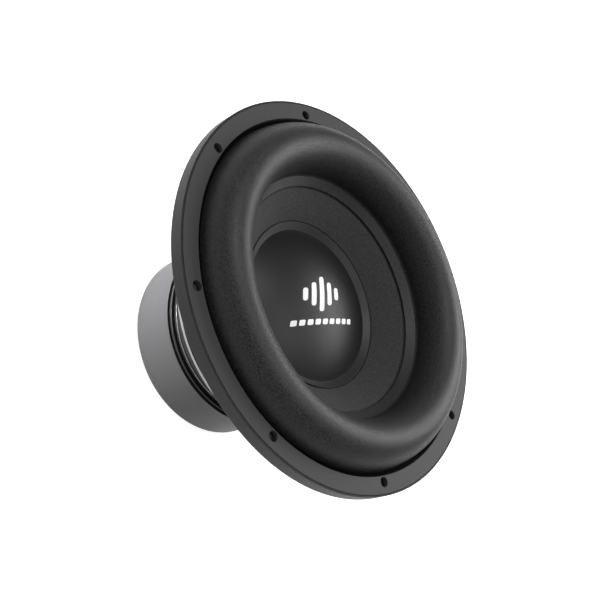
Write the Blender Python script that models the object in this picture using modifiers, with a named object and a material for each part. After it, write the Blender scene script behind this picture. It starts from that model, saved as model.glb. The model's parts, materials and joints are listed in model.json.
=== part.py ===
"""A 12-inch car subwoofer driver, standing on its motor with the cone facing up.

Metres, +Z up. The origin is the centre of the motor boot's flat back, and the speaker axis is Z.
"""

import math

import bmesh
import bpy
from mathutils import Matrix, Vector

# ---------------------------------------------------------------- driving dimensions
FRONT_Z = 0.160  # front face of the gasket above the back of the motor
FLANGE_RADIUS = 0.158
FLANGE_BACK_Z = 0.1482  # the face that lies on the baffle
CUT_OUT_RADIUS = 0.1395  # everything behind the flange passes a hole of this radius
GASKET_INNER_RADIUS = 0.143
BOLT_COUNT = 8
BOLT_CIRCLE_RADIUS = 0.1478
BOLT_START_DEG = 30.0
GASKET_HOLE_RADIUS = 0.0037
FLANGE_HOLE_RADIUS = 0.0034

CONE_SLOPE = 0.78  # rise of the cone for each metre outwards
CONE_REFERENCE = (0.0688, 0.1261)  # a point (radius, z) on the cone's front surface
CONE_EDGE_RADIUS = 0.0982
CONE_THICKNESS = 0.0018
DOME_RADIUS = 0.0631
DOME_TOP_Z = 0.1382
DUST_CAP_RADIUS = 0.0685
LIP_INNER_RADIUS = 0.0918
ROLL_CENTRE = (0.1203, 0.154)  # centre (radius, z) of the surround's tall half-round
ROLL_HALF_WIDTH = 0.0210
ROLL_STRETCH = 1.25  # height of the half-round over its half width
ROLL_THICKNESS = 0.0018

FORMER_INNER_RADIUS = 0.0318
FORMER_OUTER_RADIUS = 0.0324
COIL_Z = (0.029, 0.051)
SPIDER_Z = 0.0801
SPIDER_THICKNESS = 0.001
SPIDER_OUTER_RADIUS = 0.0935
CORRUGATION_RADII = (0.038, 0.077)
CORRUGATIONS = 5
CORRUGATION_HEIGHT = 0.0022

BOOT_RADIUS = 0.0792
BOOT_TOP_Z = 0.0415
MAGNET_RADII = (0.043, 0.077)
MAGNET_Z = (0.0106, 0.0357)
TOP_PLATE_Z = (0.036, 0.044)
POLE_RADIUS = 0.031
GAP_OUTER_RADIUS = 0.0352
VENT_RADIUS = 0.0125

SEAT_Z = 0.0443  # underside of the basket's seat on the top plate
LANDING_Z = 0.0792  # the ledge that the spider is glued on
SPOKE_FOOT = (0.0995, 0.0830)  # outer surface (radius, z) of the spokes at the landing ring
SPOKE_HEAD = (CUT_OUT_RADIUS, 0.1290)  # and at the tub
SPOKE_COUNT = 6
SPOKE_HALF_WIDTH = 0.010
WINDOW_Z = (0.0845, 0.1185)
MOTOR_SCREW_CIRCLE = 0.058

TERMINAL_FACE_X = 0.1158
TERMINAL_BACK_X = 0.1038
TERMINAL_Z = (0.0545, 0.079)
TERMINAL_HALF_WIDTH = 0.021
TERMINAL_SCREW_Z = (0.0575, 0.075)
BUTTON_Y = 0.011
BUTTON_Z = 0.072
BUTTON_RADIUS = 0.0048
BUTTON_PROUD = 0.0035
BUTTON_LENGTH = 0.008
WELL_RADIUS = 0.0053
WELL_FLOOR_X = 0.1073
WIRE_HOLE_Z = 0.0605
WIRE_HOLE_RADIUS = 0.0032
TAB_X = 0.1056
TAB_Y = 0.014

GAP = 0.0003  # clearance between pieces that touch on the real object
LARGE_STEPS = 40
SMALL_STEPS = 32
SCREW_STEPS = 12

# ---------------------------------------------------------------- scene and helpers
for old in list(bpy.data.objects):
    bpy.data.objects.remove(old, do_unlink=True)

parts = bpy.data.collections.new("car_subwoofer")
cutters = bpy.data.collections.new("cutters")
for collection in (parts, cutters):
    bpy.context.scene.collection.children.link(collection)


def material(name, colour, roughness, metallic=0.0):
    """A Principled material."""
    made = bpy.data.materials.new(name)
    made.use_nodes = True
    shader = made.node_tree.nodes["Principled BSDF"]
    shader.inputs["Base Color"].default_value = (*colour, 1.0)
    shader.inputs["Roughness"].default_value = roughness
    shader.inputs["Metallic"].default_value = metallic
    return made


def add_object(name, data, look=None, parent=None):
    """An object in the parts, or among the cutters when it has no material."""
    made = bpy.data.objects.new(name, data)
    if look:
        data.materials.append(look)
        parts.objects.link(made)
    else:
        cutters.objects.link(made)
        made.hide_render = True
        made.display_type = "WIRE"
    made.parent = parent
    return made


def turned(name, profile, steps, look=None, parent=None):
    """A turned piece from (radius, z) points that run down its outer side and back up its inner side.

    A profile whose first and last points lie on the axis stays open there, and the turn closes it.
    """
    mesh = bpy.data.meshes.new(name)
    count = len(profile)
    edges = [(i, i + 1) for i in range(count - 1)]
    if profile[0][0] > 0.0:
        edges.append((count - 1, 0))
    mesh.from_pydata([(radius, 0.0, z) for radius, z in profile], edges, [])
    made = add_object(name, mesh, look, parent)
    screw = made.modifiers.new("turn", "SCREW")
    screw.axis = "Z"
    screw.angle = math.tau
    screw.steps = steps
    screw.render_steps = steps
    screw.use_merge_vertices = True
    screw.merge_threshold = 0.00001
    screw.use_smooth_shade = True
    return made


def ring(name, radii, heights, steps, look=None):
    """A plain ring between two radii and two heights."""
    inner, outer = radii
    low, high = heights
    return turned(name, [(outer, high), (outer, low), (inner, low), (inner, high)], steps, look)


def arc(centre, radius, start_deg, end_deg, segments, stretch=1.0):
    """Points along an arc in the (radius, z) plane, stretched along z."""
    points = []
    for i in range(segments + 1):
        angle = math.radians(start_deg + (end_deg - start_deg) * i / segments)
        across, up = radius * math.cos(angle), radius * stretch * math.sin(angle)
        points.append((centre[0] + across, centre[1] + up))
    return points


def block(name, low, high, look=None, parent=None, bevel=0.0):
    """A box between two corners."""
    mesh = bpy.data.meshes.new(name)
    shape = bmesh.new()
    bmesh.ops.create_cube(shape, size=1.0)
    low, high = Vector(low), Vector(high)
    size = high - low
    bmesh.ops.transform(
        shape,
        matrix=Matrix.Translation((low + high) / 2) @ Matrix.Diagonal((*size, 1.0)),
        verts=shape.verts,
    )
    shape.to_mesh(mesh)
    shape.free()
    made = add_object(name, mesh, look, parent)
    if bevel:
        rounding = made.modifiers.new("rounding", "BEVEL")
        rounding.width = bevel
        rounding.segments = 1
    return made


def rod(name, start, axis, radius, length, segments, look=None, parent=None):
    """A cylinder from a start point along an axis; its object's origin is the start point."""
    mesh = bpy.data.meshes.new(name)
    shape = bmesh.new()
    bmesh.ops.create_cone(
        shape, cap_ends=True, segments=segments, radius1=radius, radius2=radius, depth=length
    )
    bmesh.ops.translate(shape, vec=(0.0, 0.0, length / 2), verts=shape.verts)
    turn = Vector((0, 0, 1)).rotation_difference(Vector(axis)).to_matrix().to_4x4()
    bmesh.ops.transform(shape, matrix=turn, verts=shape.verts)
    shape.to_mesh(mesh)
    shape.free()
    made = add_object(name, mesh, look, parent)
    made.location = start
    return made


def tube(name, points, radius, look, parent=None):
    """A round wire through a list of points."""
    curve = bpy.data.curves.new(name, "CURVE")
    curve.dimensions = "3D"
    curve.bevel_depth = radius
    curve.bevel_resolution = 1
    curve.use_fill_caps = True
    line = curve.splines.new("POLY")
    line.points.add(len(points) - 1)
    for target, point in zip(line.points, points):
        target.co = (*point, 1.0)
    return add_object(name, curve, look, parent)


def combine(target, other, operation):
    """A Boolean modifier on the target."""
    boolean = target.modifiers.new(other.name, "BOOLEAN")
    boolean.operation = operation
    boolean.solver = "EXACT"
    boolean.object = other


def cut(target, other):
    combine(target, other, "DIFFERENCE")


def join(target, other):
    combine(target, other, "UNION")


def polar(radius, degrees, z):
    """A point at a radius and an angle about the speaker axis."""
    angle = math.radians(degrees)
    return Vector((radius * math.cos(angle), radius * math.sin(angle), z))


def drill(target, label, circle_radius, degrees, heights, hole_radius, segments):
    """A hole along Z through the target, turned so that no corner of it lies on a radial edge."""
    low, high = heights
    place = polar(circle_radius, degrees, low)
    hole = rod(label, place, (0, 0, 1), hole_radius, high - low, segments)
    hole.rotation_euler.z = math.radians(degrees) + math.pi / segments
    cut(target, hole)


def drill_bolt_holes(target, label, heights, hole_radius, segments):
    """The mounting holes through one of the pieces at the rim."""
    for i in range(BOLT_COUNT):
        degrees = BOLT_START_DEG + 360.0 / BOLT_COUNT * i
        drill(target, f"{label}_{i + 1}", BOLT_CIRCLE_RADIUS, degrees, heights, hole_radius, segments)


def cone_z(radius):
    """Height of the cone's front surface at a radius."""
    return CONE_REFERENCE[1] + CONE_SLOPE * (radius - CONE_REFERENCE[0])


# ---------------------------------------------------------------- materials
black_paint = material("black_paint", (0.022, 0.022, 0.023), 0.45)
gasket_rubber = material("gasket_rubber", (0.045, 0.045, 0.046), 0.75)
roll_rubber = material("surround_rubber", (0.02, 0.02, 0.021), 0.5)
cone_pulp = material("cone_pulp", (0.04, 0.04, 0.041), 0.9)
cap_pulp = material("dust_cap_pulp", (0.025, 0.025, 0.026), 0.45)
boot_rubber = material("boot_rubber", (0.06, 0.06, 0.062), 0.45)
ferrite = material("ferrite", (0.05, 0.05, 0.055), 0.8)
plated_steel = material("plated_steel", (0.55, 0.55, 0.52), 0.35, 1.0)
bare_aluminium = material("bare_aluminium", (0.8, 0.8, 0.82), 0.3, 1.0)
copper = material("copper_wire", (0.72, 0.3, 0.14), 0.35, 1.0)
polyimide = material("former_film", (0.42, 0.2, 0.05), 0.4)
spider_cloth = material("spider_cloth", (0.55, 0.4, 0.12), 0.9)
kraft = material("kraft_paper", (0.4, 0.3, 0.18), 0.9)
terminal_plastic = material("terminal_plastic", (0.03, 0.03, 0.03), 0.5)
red_plastic = material("red_plastic", (0.5, 0.02, 0.02), 0.4)
black_plastic = material("black_plastic", (0.015, 0.015, 0.015), 0.4)
brass = material("tinned_brass", (0.75, 0.62, 0.35), 0.35, 1.0)
tinsel = material("tinsel_braid", (0.7, 0.62, 0.5), 0.5, 1.0)


# ---------------------------------------------------------------- basket
def sloped_bar(name, degrees, width, height, sink):
    """A bar along the outside of a spoke, sunk into it."""
    foot, head = Vector(SPOKE_FOOT), Vector(SPOKE_HEAD)
    along = head - foot
    made = block(
        name,
        (-along.length / 2, -width / 2, -sink),
        (along.length / 2, width / 2, height - sink),
    )
    middle = (foot + head) / 2
    slope = math.atan2(along.y, along.x)
    # A turn of 180 degrees less the slope points the bar's own +Z outwards and down.
    made.matrix_world = (
        Matrix.Rotation(math.radians(degrees), 4, "Z")
        @ Matrix.Translation((middle.x, 0.0, middle.y))
        @ Matrix.Rotation(math.pi - slope, 4, "Y")
    )
    return made


def window_cutter(name, degrees):
    """A rounded trapezoid that leaves spokes of one width between the windows."""
    corners = []
    foot, head = SPOKE_FOOT, SPOKE_HEAD
    for z in WINDOW_Z:
        radius = foot[0] + (head[0] - foot[0]) * (z - foot[1]) / (head[1] - foot[1])
        half_angle = math.pi / SPOKE_COUNT - math.asin(SPOKE_HALF_WIDTH / radius)
        corners.append(radius * math.sin(half_angle))
    made = block(name, (0.080, -1.0, WINDOW_Z[0]), (0.150, 1.0, WINDOW_Z[1]))
    for vertex in made.data.vertices:
        top = vertex.co.z > sum(WINDOW_Z) / 2
        vertex.co.y *= corners[1] if top else corners[0]
    shape = bmesh.new()
    shape.from_mesh(made.data)
    radial = [edge for edge in shape.edges if abs(edge.verts[0].co.x - edge.verts[1].co.x) > 0.01]
    bmesh.ops.bevel(shape, geom=radial, offset=0.006, segments=3, profile=0.5, affect="EDGES")
    shape.to_mesh(made.data)
    shape.free()
    made.rotation_euler.z = math.radians(degrees)
    return made


def make_basket():
    """The cast frame: flange, tub, spokes, spider landing, vented throat and motor seat."""
    outer_side = [
        (FLANGE_RADIUS, 0.1597),
        (FLANGE_RADIUS, FLANGE_BACK_Z),
        (CUT_OUT_RADIUS, FLANGE_BACK_Z),
        SPOKE_HEAD,
        SPOKE_FOOT,
        (0.0995, 0.0790),
        (0.0960, 0.0755),
        (0.0815, 0.0755),
        (0.0765, 0.0545),
        (0.0750, 0.0530),
        (0.0750, 0.0505),
        (0.0732, 0.0500),
        (0.0732, 0.0475),
        (0.0742, 0.0470),
        (0.0742, SEAT_Z),
    ]
    inner_side = [
        (0.040, SEAT_Z),
        (0.040, 0.0483),
        (0.0705, 0.0483),
        (0.0735, 0.056),
        (0.0785, LANDING_Z),
        (0.0955, LANDING_Z),
        (0.0955, 0.0838),
        (0.136, 0.1304),
        (0.136, 0.1553),
        (0.157, 0.1553),
        (0.157, 0.1597),
    ]
    basket = turned("basket", outer_side + inner_side, LARGE_STEPS, black_paint)
    for i in range(SPOKE_COUNT):
        spoke_deg = 360.0 / SPOKE_COUNT * i
        window_deg = spoke_deg + 180.0 / SPOKE_COUNT
        cut(basket, window_cutter(f"window_{i + 1}", window_deg))
        vent = block(f"throat_vent_{i + 1}", (0.060, -0.013, 0.0585), (0.092, 0.013, 0.0705))
        vent.rotation_euler.z = math.radians(window_deg)
        cut(basket, vent)
        if spoke_deg % 180.0 > 1.0:
            join(basket, sloped_bar(f"spoke_rib_{i + 1}", spoke_deg, 0.005, 0.005, 0.0025))
        label = f"seat_hole_{i + 1}"
        drill(basket, label, MOTOR_SCREW_CIRCLE, window_deg, (0.042, 0.051), 0.0026, SCREW_STEPS)
    for side, degrees in (("a", 0.0), ("b", 180.0)):
        shelf = block(f"shelf_{side}", (0.090, -0.022, 0.0759), (0.1025, 0.022, 0.0789))
        plate = block(f"plate_{side}", (0.0995, -0.0215, 0.054), (0.1035, 0.0215, 0.0784))
        for piece in (shelf, plate):
            piece.rotation_euler.z = math.radians(degrees)
            join(basket, piece)
        for i, z in enumerate(TERMINAL_SCREW_Z):
            hole = rod(f"plate_hole_{side}{i}", (0.098, 0, z), (1, 0, 0), 0.0019, 0.007, SCREW_STEPS)
            hole.parent = terminal_frames[side]
            cut(basket, hole)
    drill_bolt_holes(basket, "flange_hole", (0.146, 0.158), FLANGE_HOLE_RADIUS, 12)


# ---------------------------------------------------------------- gasket and suspension
def make_gasket():
    """The rubber ring on the front of the flange."""
    outer = 0.1566
    bevel = 0.0005
    gasket = turned(
        "front_gasket",
        [
            (outer - bevel, FRONT_Z),
            (outer, FRONT_Z - bevel),
            (outer, 0.1575),
            (GASKET_INNER_RADIUS, 0.1575),
            (GASKET_INNER_RADIUS, FRONT_Z - bevel),
            (GASKET_INNER_RADIUS + bevel, FRONT_Z),
        ],
        LARGE_STEPS,
        gasket_rubber,
    )
    drill_bolt_holes(gasket, "gasket_hole", (0.156, 0.162), GASKET_HOLE_RADIUS, 12)


def make_surround():
    """The half-round roll, with a lip on the cone and a foot between flange and gasket."""
    foot_top, foot_bottom = 0.1572, 0.1556
    lip_top = cone_z(0) + GAP + 0.0013
    inner_half_width = ROLL_HALF_WIDTH - ROLL_THICKNESS
    rise = (foot_top - ROLL_CENTRE[1]) / (ROLL_HALF_WIDTH * ROLL_STRETCH)
    under_rise = (foot_bottom - ROLL_CENTRE[1]) / (inner_half_width * ROLL_STRETCH)
    outer_deg, under_deg = math.degrees(math.asin(rise)), math.degrees(math.asin(under_rise))
    profile = [
        (LIP_INNER_RADIUS, lip_top + CONE_SLOPE * LIP_INNER_RADIUS),
        (0.0976, lip_top + CONE_SLOPE * 0.0976),
    ]
    profile += arc(ROLL_CENTRE, ROLL_HALF_WIDTH, 188.0, outer_deg, 8, ROLL_STRETCH)
    profile += [(0.154, foot_top), (0.154, foot_bottom)]
    profile += arc(ROLL_CENTRE, inner_half_width, under_deg, 186.0, 7, ROLL_STRETCH)
    profile += [
        (0.0984, cone_z(0.0984) + GAP),
        (LIP_INNER_RADIUS, cone_z(LIP_INNER_RADIUS) + GAP),
    ]
    surround = turned("surround", profile, LARGE_STEPS, roll_rubber)
    drill_bolt_holes(surround, "foot_hole", (0.154, 0.160), 0.0039, 8)


def make_spider():
    """The corrugated centring disc; its waves are creases at this detail."""
    half = SPIDER_THICKNESS / 2
    inner, outer = CORRUGATION_RADII
    creases = 2 * CORRUGATIONS
    line = [(FORMER_OUTER_RADIUS + GAP, 0.0), (inner, 0.0)]
    for i in range(creases):
        radius = inner + (outer - inner) * (i + 0.5) / creases
        line.append((radius, CORRUGATION_HEIGHT * (-1) ** i))
    line += [(outer, 0.0), (SPIDER_OUTER_RADIUS, 0.0)]
    top = [(radius, SPIDER_Z + rise + half) for radius, rise in line]
    bottom = [(radius, SPIDER_Z + rise - half) for radius, rise in reversed(line)]
    turned("spider", top + bottom, SMALL_STEPS, spider_cloth)
    ring("spider_clamp_ring", (0.085, SPIDER_OUTER_RADIUS), (0.0809, 0.0835), SMALL_STEPS, black_plastic)


# ---------------------------------------------------------------- cone assembly
def make_cone():
    """The cone, with a short neck glued on the former."""
    neck = FORMER_OUTER_RADIUS + GAP
    neck_outer = neck + 0.0017
    edge_z = cone_z(CONE_EDGE_RADIUS)
    turned(
        "cone",
        [
            (CONE_EDGE_RADIUS, edge_z),
            (CONE_EDGE_RADIUS, edge_z - CONE_THICKNESS),
            (neck_outer, cone_z(neck_outer) - CONE_THICKNESS),
            (neck_outer, 0.0954),
            (neck, 0.0954),
            (neck, cone_z(neck)),
        ],
        LARGE_STEPS,
        cone_pulp,
    )


def make_dust_cap():
    """The dome, with a flat rim glued on the cone."""
    wall = 0.0014
    rim_z = cone_z(DOME_RADIUS) + GAP + wall
    rise = DOME_TOP_Z - rim_z
    sphere = (DOME_RADIUS**2 + rise**2) / (2 * rise)

    def dome(radius):
        return DOME_TOP_Z - sphere + math.sqrt(sphere**2 - radius**2)

    segments = 5
    stations = [DOME_RADIUS * i / segments for i in range(segments + 1)]
    outside = [(radius, dome(radius)) for radius in stations]
    inner_edge = 0.9 * DOME_RADIUS
    inside = [(radius * 0.9, dome(radius * 0.9) - wall) for radius in reversed(stations)]
    rim = [
        (DUST_CAP_RADIUS, cone_z(DUST_CAP_RADIUS) + GAP + wall),
        (DUST_CAP_RADIUS, cone_z(DUST_CAP_RADIUS) + GAP),
        (inner_edge + 0.004, cone_z(inner_edge + 0.004) + GAP),
    ]
    turned("dust_cap", outside + rim + inside, LARGE_STEPS, cap_pulp)


def make_voice_coil():
    """The former, its collar and the two windings."""
    ring(
        "coil_former",
        (FORMER_INNER_RADIUS, FORMER_OUTER_RADIUS),
        (0.0283, 0.0995),
        SMALL_STEPS,
        polyimide,
    )
    wound = FORMER_OUTER_RADIUS + GAP
    ring("voice_coil_inner", (wound, wound + 0.0007), COIL_Z, SMALL_STEPS, copper)
    ring("voice_coil_outer", (wound + 0.001, wound + 0.0017), COIL_Z, SMALL_STEPS, copper)
    ring("former_collar", (wound, wound + 0.0015), (0.0812, 0.095), SMALL_STEPS, kraft)


# ---------------------------------------------------------------- motor
def make_motor():
    """The magnetic circuit, the boot over it and the vent grille."""
    magnet_low, magnet_high = MAGNET_Z
    plate_low, plate_high = TOP_PLATE_Z
    ring("magnet", MAGNET_RADII, MAGNET_Z, LARGE_STEPS, ferrite)
    top_plate = ring(
        "top_plate", (GAP_OUTER_RADIUS, MAGNET_RADII[1]), TOP_PLATE_Z, LARGE_STEPS, black_paint
    )
    for i in range(SPOKE_COUNT):
        degrees = (i + 0.5) * 360.0 / SPOKE_COUNT
        heights = (plate_low - 0.002, plate_high + 0.002)
        drill(top_plate, f"tapped_hole_{i + 1}", MOTOR_SCREW_CIRCLE, degrees, heights, 0.0026, 8)
    plate_top = magnet_low - GAP
    pole_top = plate_high + 0.002
    turned(
        "t_yoke",
        [
            (POLE_RADIUS, pole_top),
            (POLE_RADIUS, plate_top),
            (0.075, plate_top),
            (0.075, 0.0023),
            (0.0165, 0.0023),
            (0.0165, 0.0046),
            (VENT_RADIUS, 0.007),
            (VENT_RADIUS, pole_top - 0.003),
            (VENT_RADIUS + 0.003, pole_top),
        ],
        LARGE_STEPS,
        plated_steel,
    )
    ring("shorting_ring", (0.036, 0.0425), (magnet_low, 0.033), SMALL_STEPS, bare_aluminium)
    wall = 0.0018
    floor = 0.002
    rounding = 0.002
    corner = (BOOT_RADIUS - rounding, rounding)
    turned(
        "motor_boot",
        [(BOOT_RADIUS, BOOT_TOP_Z)]
        + arc(corner, rounding, 0.0, -90.0, 4)
        + [
            (0.020, 0.0),
            (0.020, floor),
            (BOOT_RADIUS - wall, floor),
            (BOOT_RADIUS - wall, BOOT_TOP_Z),
        ],
        LARGE_STEPS,
        boot_rubber,
    )
    grille = rod("vent_grille", (0, 0, 0.0026), (0, 0, 1), 0.0161, 0.0014, 24, black_plastic)
    holes = [(0.0, 0.0)] + [(0.0085, 60.0 * i) for i in range(6)]
    for i, (radius, degrees) in enumerate(holes):
        drill(grille, f"grille_hole_{i + 1}", radius, degrees, (0.0016, 0.005), 0.0034, 8)


def make_motor_screws():
    """Socket-head screws through the seat into the top plate."""
    head_low = 0.0483 + GAP
    head_high = head_low + 0.0045
    profile = [
        (0.0, head_high - 0.0025),
        (0.002, head_high - 0.0025),
        (0.002, head_high),
        (0.0042, head_high),
        (0.0042, head_low),
        (0.0022, head_low),
        (0.0022, 0.0385),
        (0.0, 0.0385),
    ]
    for i in range(SPOKE_COUNT):
        screw = turned(f"motor_screw_{i + 1}", profile, SCREW_STEPS, plated_steel)
        screw.location = polar(MOTOR_SCREW_CIRCLE, (i + 0.5) * 360.0 / SPOKE_COUNT, 0.0)


# ---------------------------------------------------------------- terminals and leads
terminal_frames = {}
for side, degrees in (("a", 0.0), ("b", 180.0)):
    terminal_frame = bpy.data.objects.new(f"terminal_frame_{side}", None)
    parts.objects.link(terminal_frame)
    terminal_frame.rotation_euler.z = math.radians(degrees)
    terminal_frames[side] = terminal_frame


def make_terminal_block(side):
    """The moulded block, with two button wells, two wire holes, two tab slots and two screw holes."""
    parent = terminal_frames[side]
    housing = block(
        f"terminal_block_{side}",
        (TERMINAL_BACK_X, -TERMINAL_HALF_WIDTH, TERMINAL_Z[0]),
        (TERMINAL_FACE_X, TERMINAL_HALF_WIDTH, TERMINAL_Z[1]),
        terminal_plastic,
        parent,
        bevel=0.001,
    )
    for i, z in enumerate(TERMINAL_SCREW_Z):
        hole = rod(f"block_hole_{side}{i}", (0.100, 0, z), (1, 0, 0), 0.0019, 0.02, 12, None, parent)
        cut(housing, hole)
    for sign, pole in ((1, "plus"), (-1, "minus")):
        y = sign * BUTTON_Y
        well = rod(
            f"well_{side}_{pole}", (WELL_FLOOR_X, y, BUTTON_Z), (1, 0, 0), WELL_RADIUS, 0.012, 16,
            None, parent,
        )
        wire_hole = rod(
            f"wire_hole_{side}_{pole}", (0.106, y, WIRE_HOLE_Z), (1, 0, 0), WIRE_HOLE_RADIUS, 0.012,
            16, None, parent,
        )
        slot = block(
            f"tab_slot_{side}_{pole}",
            (TAB_X - 0.0007, sign * TAB_Y - 0.0028, 0.0742),
            (TAB_X + 0.0007, sign * TAB_Y + 0.0028, 0.082),
            None,
            parent,
        )
        for cutter in (well, wire_hole, slot):
            cut(housing, cutter)


def make_terminal_fittings(side):
    """Buttons, button springs, contact tabs and screws of one block."""
    parent = terminal_frames[side]
    for sign, pole, look in ((1, "plus", red_plastic), (-1, "minus", black_plastic)):
        y = sign * BUTTON_Y
        front_x = TERMINAL_FACE_X + BUTTON_PROUD
        back_x = front_x - BUTTON_LENGTH
        button = rod(
            f"push_button_{side}_{pole}", (back_x, y, BUTTON_Z), (1, 0, 0), BUTTON_RADIUS,
            BUTTON_LENGTH, 16, look, parent,
        )
        crown = button.modifiers.new("crown", "BEVEL")
        crown.width = 0.0006
        crown.segments = 1
        turns = 4
        per_turn = 5
        wire = 0.00035
        low_x = WELL_FLOOR_X + GAP + wire
        high_x = back_x - GAP - wire
        coil = []
        for i in range(turns * per_turn + 1):
            angle = math.tau * i / per_turn
            x = low_x + (high_x - low_x) * i / (turns * per_turn)
            coil.append((x, y + 0.003 * math.cos(angle), BUTTON_Z + 0.003 * math.sin(angle)))
        tube(f"button_spring_{side}_{pole}", coil, wire, plated_steel, parent)
        block(
            f"contact_tab_{side}_{pole}",
            (TAB_X - 0.0004, sign * TAB_Y - 0.0025, 0.0745),
            (TAB_X + 0.0004, sign * TAB_Y + 0.0025, 0.090),
            brass,
            parent,
        )
    head_low = TERMINAL_FACE_X + GAP
    profile = [
        (0.0, head_low + 0.002),
        (0.002, head_low + 0.0017),
        (0.003, head_low + 0.0006),
        (0.003, head_low),
        (0.0015, head_low),
        (0.0015, 0.100),
        (0.0, 0.100),
    ]
    for i, z in enumerate(TERMINAL_SCREW_Z):
        screw = turned(f"terminal_screw_{side}_{i + 1}", profile, SCREW_STEPS, plated_steel, parent)
        screw.rotation_euler.y = math.pi / 2
        screw.location = (0.0, 0.0, z)


def smooth_route(points, samples):
    """Points along a Catmull-Rom curve through the given points."""
    padded = [2 * points[0] - points[1], *points, 2 * points[-1] - points[-2]]
    route = []
    for i in range(1, len(padded) - 2):
        a, b, c, d = padded[i - 1 : i + 3]
        for k in range(samples):
            t = k / samples
            route.append(
                0.5
                * (
                    2 * b
                    + (c - a) * t
                    + (2 * a - 5 * b + 4 * c - d) * t**2
                    + (3 * b - a - 3 * c + d) * t**3
                )
            )
    route.append(points[-1])
    return route


def make_tinsel_leads():
    """Four braided leads that arch from the contact tabs over the spider to the former."""
    for side, parent in terminal_frames.items():
        for sign, pole in ((1, "plus"), (-1, "minus")):
            points = [
                Vector((0.1056, sign * 0.0140, 0.0914)),
                Vector((0.1020, sign * 0.0136, 0.0955)),
                Vector((0.0860, sign * 0.0122, 0.0975)),
                Vector((0.0660, sign * 0.0100, 0.0925)),
                Vector((0.0480, sign * 0.0080, 0.0895)),
                Vector((0.0352, sign * 0.0062, 0.0905)),
            ]
            tube(f"tinsel_lead_{side}_{pole}", smooth_route(points, 2), 0.001, tinsel, parent)


make_basket()
make_gasket()
make_surround()
make_spider()
make_cone()
make_dust_cap()
make_voice_coil()
make_motor()
make_motor_screws()
for side in terminal_frames:
    make_terminal_block(side)
    make_terminal_fittings(side)
make_tinsel_leads()

for part in parts.objects:
    if part.type == "MESH" and not part.modifiers.get("turn"):
        part.data.shade_smooth()
        part.data.set_sharp_from_angle(angle=math.radians(35.0))
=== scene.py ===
"""Looks of the car subwoofer driver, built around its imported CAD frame.

Metres, +Z up along the speaker axis, in the frame's own coordinates. Turned pieces are remade from
their profiles with rounded edges and fine steps; each keeps the place and size of its CAD node.
"""

import json
import math

import bmesh
import bpy
from mathutils import Matrix, Quaternion, Vector

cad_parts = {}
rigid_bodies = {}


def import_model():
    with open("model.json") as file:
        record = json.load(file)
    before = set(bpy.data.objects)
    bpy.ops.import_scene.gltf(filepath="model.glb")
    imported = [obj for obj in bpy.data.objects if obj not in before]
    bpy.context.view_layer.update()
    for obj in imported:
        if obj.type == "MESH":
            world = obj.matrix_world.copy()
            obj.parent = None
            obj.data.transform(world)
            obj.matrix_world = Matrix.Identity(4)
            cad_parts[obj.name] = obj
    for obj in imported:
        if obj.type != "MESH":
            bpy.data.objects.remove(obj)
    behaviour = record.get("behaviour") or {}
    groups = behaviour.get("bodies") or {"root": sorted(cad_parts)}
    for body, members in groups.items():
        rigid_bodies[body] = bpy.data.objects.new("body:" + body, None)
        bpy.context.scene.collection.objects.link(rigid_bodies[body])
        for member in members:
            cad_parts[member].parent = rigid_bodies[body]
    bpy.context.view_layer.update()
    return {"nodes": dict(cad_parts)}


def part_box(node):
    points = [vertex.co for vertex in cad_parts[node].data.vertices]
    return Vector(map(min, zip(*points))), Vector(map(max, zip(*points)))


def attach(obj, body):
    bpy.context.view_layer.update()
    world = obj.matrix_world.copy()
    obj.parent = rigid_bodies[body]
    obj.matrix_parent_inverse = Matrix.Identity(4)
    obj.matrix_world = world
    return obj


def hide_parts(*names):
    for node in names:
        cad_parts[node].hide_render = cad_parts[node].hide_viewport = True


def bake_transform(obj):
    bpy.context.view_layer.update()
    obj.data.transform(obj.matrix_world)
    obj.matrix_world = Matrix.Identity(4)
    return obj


for leftover in list(bpy.data.objects):
    bpy.data.objects.remove(leftover, do_unlink=True)

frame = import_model()

# ---------------- dimensions read from the frame
FRONT_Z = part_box("front_gasket")[1].z
FLANGE_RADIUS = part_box("basket")[1].x
SEAT_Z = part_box("basket")[0].z
BOOT_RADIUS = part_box("motor_boot")[1].x
BOOT_TOP_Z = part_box("motor_boot")[1].z
CONE_EDGE_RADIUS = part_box("cone")[1].x
CAP_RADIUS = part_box("dust_cap")[1].x
DOME_TOP_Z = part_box("dust_cap")[1].z
SPIDER_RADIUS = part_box("spider")[1].x
SPIDER_Z = sum(corner.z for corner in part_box("spider")) / 2
FORMER_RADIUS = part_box("coil_former")[1].x
GASKET_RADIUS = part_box("front_gasket")[1].x
FOOT_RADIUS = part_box("surround")[1].x

# ---------------- dimensions shared with the CAD
FLANGE_BACK_Z = 0.1482
TUB_RADIUS = 0.1395
FLANGE_LIP_TOP_Z = 0.1597
FLANGE_LIP_INNER_RADIUS = 0.1568
GASKET_SEAT_Z = 0.1553
GASKET_INNER_RADIUS = 0.143
BOLT_COUNT = 8
BOLT_CIRCLE = 0.1478
BOLT_START_DEG = 30.0
BOLT_STEP_DEG = 360.0 / BOLT_COUNT
CONE_SLOPE = 0.78
CONE_REFERENCE = (0.0688, 0.1261)
DOME_RADIUS = 0.0631
CAP_RIM_THICKNESS = 0.0009
LIP_INNER_RADIUS = 0.0918
ROLL_THICKNESS = 0.0018
LANDING_Z = 0.0792
SPOKE_FOOT = (0.0995, 0.0830)
SPOKE_HEAD = (0.1395, 0.1290)
SPOKES = 6
SPOKE_STEP_DEG = 360.0 / SPOKES
SPOKE_HALF_WIDTH = 0.010
WINDOW_Z = (0.0845, 0.1185)
SCREW_CIRCLE = 0.058
BUTTON_Y = 0.011
BUTTON_Z = 0.072
TAB_Y = 0.014
WIRE_HOLE_Z = 0.0605
TERMINAL_SCREW_Z = (0.0575, 0.075)
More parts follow.
